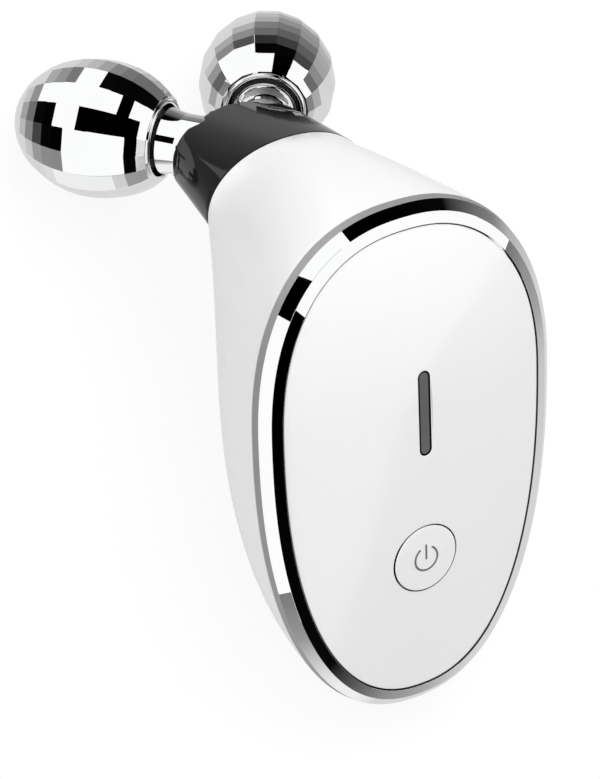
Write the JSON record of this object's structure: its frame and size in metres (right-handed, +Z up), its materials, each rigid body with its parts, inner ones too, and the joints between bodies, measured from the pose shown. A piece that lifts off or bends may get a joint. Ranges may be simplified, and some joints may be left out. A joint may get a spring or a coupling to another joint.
{
  "type": "microcurrent face massager",
  "caption": "Handheld face massager: a horn-shaped palm grip with a domed egg-shaped face, a dark neck and faceted chrome rollers set in a V that turn freely on their stems.",
  "frame": {"origin": "under the middle of the massager, on the surface that it rests on with both rollers and its tail", "axes": "+Z up, +Y from the tail towards the rollers, +X across the face; the face looks up and towards -Y"},
  "size_m": [0.0592, 0.1212, 0.0657],
  "materials": {
    "white_shell": "white gloss moulding",
    "white_plate": "white high gloss",
    "chrome": "mirror chrome plating",
    "roller_chrome": "mirror chrome plating on flat facets",
    "charcoal": "dark charcoal gloss",
    "lens_smoke": "smoked light bar",
    "led_white": "lamp body",
    "board_green": "circuit board",
    "chip_black": "moulded black",
    "ferrite": "ferrite grey",
    "cell_silver": "foil pouch",
    "tray_black": "matte black moulding",
    "steel": "bright steel",
    "hub_grey": "grey moulding",
    "brass": "turned brass",
    "black_lead": "black wire sheath",
    "red_lead": "red wire sheath"
  },
  "bodies": {
    "body": {"body_shell": "white_shell", "face_plate": "white_plate", "trim_ring": "chrome", "head_collar": "charcoal", "stem_left": "chrome", "stem_right": "chrome", "axle_left": "steel", "axle_right": "steel", "axle_clip_left": "steel", "axle_clip_right": "steel", "stem_nut_left": "brass", "stem_nut_right": "brass", "ring_terminal_left": "brass", "ring_terminal_right": "brass", "indicator_lens": "lens_smoke", "indicator_led_1": "led_white", "indicator_led_2": "led_white", "indicator_led_3": "led_white", "main_board": "board_green", "controller_chip": "chip_black", "tact_switch": "chip_black", "step_up_coil": "ferrite", "battery_cell": "cell_silver", "battery_tray": "tray_black", "charge_socket": "steel", "board_screw_1": "steel", "board_screw_2": "steel", "board_screw_3": "steel", "board_screw_4": "steel", "head_screw_left": "steel", "head_screw_right": "steel", "stem_lead_left": "black_lead", "stem_lead_right": "red_lead", "cell_lead_left": "black_lead", "cell_lead_right": "red_lead"},
    "roller_left": {"roller_ball_left": "roller_chrome", "roller_hub_left": "hub_grey", "inner_bush_left": "brass", "outer_bush_left": "brass"},
    "roller_right": {"roller_ball_right": "roller_chrome", "roller_hub_right": "hub_grey", "inner_bush_right": "brass", "outer_bush_right": "brass"},
    "button": {"power_button": "white_plate", "switch_plunger": "chip_black"}
  },
  "joints": [
    {"name": "roller_left_spin", "type": "hinge", "parent": "body", "child": "roller_left", "pos_m": [0, 0.03085, 0.03038], "axis": [-0.5675, 0.5722, -0.5921], "continuous": true},
    {"name": "roller_right_spin", "type": "hinge", "parent": "body", "child": "roller_right", "pos_m": [0, 0.03085, 0.03038], "axis": [0.5675, 0.5722, -0.5921], "continuous": true},
    {"name": "button_press", "type": "slide", "parent": "body", "child": "button", "axis": [0, 0.6622, -0.7493], "range_m": [0, 0.0005], "stiffness_N_per_m": 800}
  ]
}
